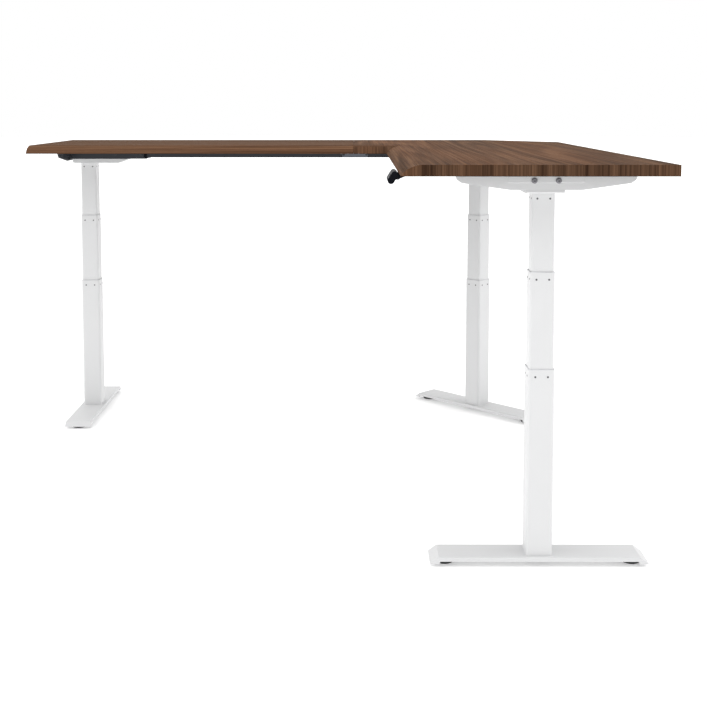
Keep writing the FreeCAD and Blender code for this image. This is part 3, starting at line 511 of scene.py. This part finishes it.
def display_window(material):
    """Smoked window in the handset's face, on the near side of the keys.

    The keys' own top is the largest face that looks both up and left, where z - x is above 1.
    """
    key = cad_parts["memory_key_1"].data
    out = max((face for face in key.polygons if face.normal.z - face.normal.x > 1.0),
              key=lambda face: face.area).normal.copy()
    up = (Z_AXIS - out * out.z).normalized()
    key_low, key_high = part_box("memory_key_1")
    paddle_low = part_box("handset_paddle")[0]
    face_height = max(v.co.dot(out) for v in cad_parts["handset_paddle"].data.vertices)
    centre = (key_low + key_high) / 2
    centre.y = (paddle_low.y + key_low.y) / 2
    centre += out * (face_height - centre.dot(out))
    half_length = (key_low.y - paddle_low.y) / 2 - WINDOW_MARGIN
    sections = [(half_length - inset, WINDOW_HALF_HEIGHT - inset, radius, height)
                for inset, radius, height in WINDOW_PROFILE]
    side = up.cross(out)
    window = lofted("display_window", sections, centre, side, up, material, "paddle", closed=False)


def rail_bushes(material):
    """Black bush in the mouth of each cross rail sleeve, round the slimmer rail."""
    sleeve_z = [corner.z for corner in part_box("rail_sleeves")]
    half_height = (sleeve_z[1] - sleeve_z[0]) / 2
    for wing, along, across in (("left", 0, 1), ("near", 1, 0)):
        low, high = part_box("cross_rails_" + wing)
        for side in ("a", "b"):
            middle = Vector((0, 0, 0))
            middle[along] = low[along] + RAIL_OVERLAP
            middle[across] = low[across] + RAIL_WIDTH / 2 if side == "a" else high[across] - RAIL_WIDTH / 2
            middle.z = (sleeve_z[0] + sleeve_z[1]) / 2
            drop = (low.z + high.z) / 2 - middle.z
            inner_v = (high.z - low.z) / 2 + abs(drop) + BUSH_CLEARANCE
            sizes = {"inner": (RAIL_WIDTH / 2 + BUSH_CLEARANCE, inner_v),
                     "outer": (RAIL_WIDTH / 2 + BUSH_WALL, half_height)}
            sections = [(sizes[wall][0] + grow_u, sizes[wall][1] + grow_v, radius, place)
                        for wall, grow_u, grow_v, radius, place in BUSH_PROFILE]
            u_axis, v_axis = (Y_AXIS, Z_AXIS) if wing == "left" else (-X_AXIS, Z_AXIS)
            bush = lofted("rail_bush_" + wing + "_" + side, sections, middle, u_axis, v_axis, material, "top",
                          closed=True)


# ---- floor, light, camera ----------------------------------------------------
def make_floor(material):
    """Large round floor at the height of the levelling pads."""
    mesh = bpy.data.meshes.new("studio_floor")
    shape = bmesh.new()
    bmesh.ops.create_circle(shape, cap_ends=True, segments=FLOOR_SIDES, radius=FLOOR_RADIUS)
    shape.to_mesh(mesh)
    shape.free()
    floor = bpy.data.objects.new("studio_floor", mesh)
    floor.location.z = cad_bounds[0].z
    mesh.materials.append(material)
    bpy.context.scene.collection.objects.link(floor)


def make_light():
    """White surroundings, and very soft lights from both sides and above."""
    world = bpy.data.worlds.new("studio")
    world.use_nodes = True
    sky = world.node_tree.nodes["Background"]
    sky.inputs["Color"].default_value = WHITE
    sky.inputs["Strength"].default_value = SKY_STRENGTH
    bpy.context.scene.world = world
    for name, direction, strength in SOFT_LIGHTS:
        data = bpy.data.lights.new(name, "SUN")
        data.energy = strength
        data.angle = math.radians(SOFTNESS)
        light = bpy.data.objects.new(name, data)
        light.rotation_euler = Vector(direction).to_track_quat("-Z", "Y").to_euler()
        bpy.context.scene.collection.objects.link(light)


def make_camera():
    """Camera in front of the desk and a little above its top, turned slightly down and to the left."""
    data = bpy.data.cameras.new("camera")
    data.lens = CAMERA_LENS
    data.sensor_width = CAMERA_SENSOR
    data.shift_y = CAMERA_SHIFT_Y
    data.clip_end = CAMERA_REACH
    camera = bpy.data.objects.new("camera", data)
    middle = (cad_bounds[0] + cad_bounds[1]) / 2
    camera.location = middle + Vector(CAMERA_OFFSET)
    camera.rotation_euler = (math.radians(90.0 - CAMERA_DOWN), 0.0, math.radians(CAMERA_LEFT))
    bpy.context.scene.collection.objects.link(camera)
    bpy.context.scene.camera = camera


# ---- run ---------------------------------------------------------------------
finishes = make_materials()
paint_desk(finishes)
display_window(finishes["glass"])
rail_bushes(finishes["plastic"])
make_floor(floor_material("studio_floor"))
make_light()
make_camera()
bpy.context.scene.view_settings.view_transform = "Standard"
